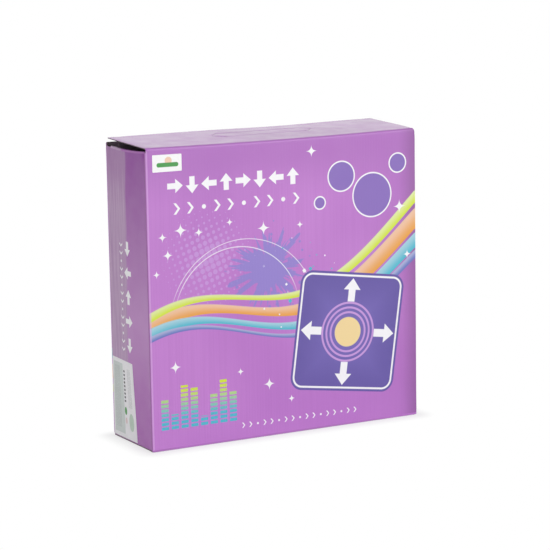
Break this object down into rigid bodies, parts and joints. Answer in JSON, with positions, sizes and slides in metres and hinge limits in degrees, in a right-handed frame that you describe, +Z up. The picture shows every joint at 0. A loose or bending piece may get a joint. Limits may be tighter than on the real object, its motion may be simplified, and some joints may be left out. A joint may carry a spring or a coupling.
{
  "type": "dance mat controller carton",
  "caption": "Printed board carton, standing upright with its top lid slightly ajar, holding a dance mat controller folded in thirds both ways, its controller housing, a leaflet and a disc.",
  "frame": {"origin": "middle of the carton's underside, on the surface that it stands on", "axes": "+X to the right of someone who faces the printed front, +Y from the front to the back, +Z up"},
  "size_m": [0.3403, 0.1013, 0.3377],
  "materials": {
    "printed_board": "gloss",
    "printed_side": "gloss",
    "board_liner": "matte",
    "label_paper": "satin",
    "cover_film": "satin",
    "contact_film": "satin",
    "spacer_foam": "matte",
    "core_foam": "matte",
    "grip_cover": "matte",
    "binding_tape": "matte",
    "housing_plastic": "satin",
    "circuit_board": "satin",
    "chip_resin": "satin",
    "socket_plastic": "satin",
    "screw_steel": "satin",
    "gland_rubber": "matte",
    "leaflet_paper": "matte",
    "disc_plastic": "polished"
  },
  "bodies": {
    "carton": {"front_panel": "printed_board", "back_panel": "printed_board", "left_side_panel": "printed_side", "right_side_panel": "printed_side", "glue_flap": "board_liner", "bottom_outer_flap": "printed_board", "bottom_inner_flap": "board_liner", "bottom_dust_flap_left": "board_liner", "bottom_dust_flap_right": "board_liner", "front_sticker": "label_paper", "side_label": "label_paper", "mat_top_cover": "cover_film", "upper_contact_sheet": "contact_film", "spacer_foam": "spacer_foam", "lower_contact_sheet": "contact_film", "foam_core": "core_foam", "base_cover": "grip_cover", "edge_binding": "binding_tape", "film_tail": "contact_film", "tail_connector": "socket_plastic", "housing_base": "housing_plastic", "housing_cover": "housing_plastic", "circuit_board": "circuit_board", "controller_chip": "chip_resin", "cable_gland": "gland_rubber", "housing_screw_1": "screw_steel", "housing_screw_2": "screw_steel", "housing_screw_3": "screw_steel", "housing_screw_4": "screw_steel", "instruction_leaflet": "leaflet_paper", "disc_sleeve": "leaflet_paper", "software_disc": "disc_plastic"},
    "lid": {"lid_panel": "printed_board"},
    "tuck": {"lid_tuck_flap": "printed_board"},
    "hand_flap": {"carry_hole_flap": "printed_board"},
    "dust_left": {"dust_flap_left": "board_liner"},
    "dust_right": {"dust_flap_right": "board_liner"}
  },
  "joints": [
    {"name": "lid_hinge", "type": "hinge", "parent": "carton", "child": "lid", "pos_m": [0, -0.0505, 0.334], "axis": [1, 0, 0], "range_deg": [-2.2, 255.4]},
    {"name": "tuck_fold", "type": "hinge", "parent": "lid", "child": "tuck", "pos_m": [0, 0.04643, 0.33772], "axis": [1, 0, 0], "range_deg": [-0.6, 64.5]},
    {"name": "dust_left_fold", "type": "hinge", "parent": "carton", "child": "dust_left", "pos_m": [-0.17, 0, 0.3303], "axis": [0, -1, 0], "range_deg": [-1.2, 128]},
    {"name": "dust_right_fold", "type": "hinge", "parent": "carton", "child": "dust_right", "pos_m": [0.17, 0, 0.3319], "axis": [0, 1, 0], "range_deg": [-1.2, 128]},
    {"name": "hand_flap_fold", "type": "hinge", "parent": "lid", "child": "hand_flap", "pos_m": [0, -0.00946, 0.33377], "axis": [-1, 0, 0], "range_deg": [0, 95]}
  ],
  "couplings": [
    {"joint": "tuck_fold", "follows": "lid_hinge", "ratio": 0.25},
    {"joint": "dust_left_fold", "follows": "lid_hinge", "ratio": 0.5},
    {"joint": "dust_right_fold", "follows": "lid_hinge", "ratio": 0.5}
  ]
}
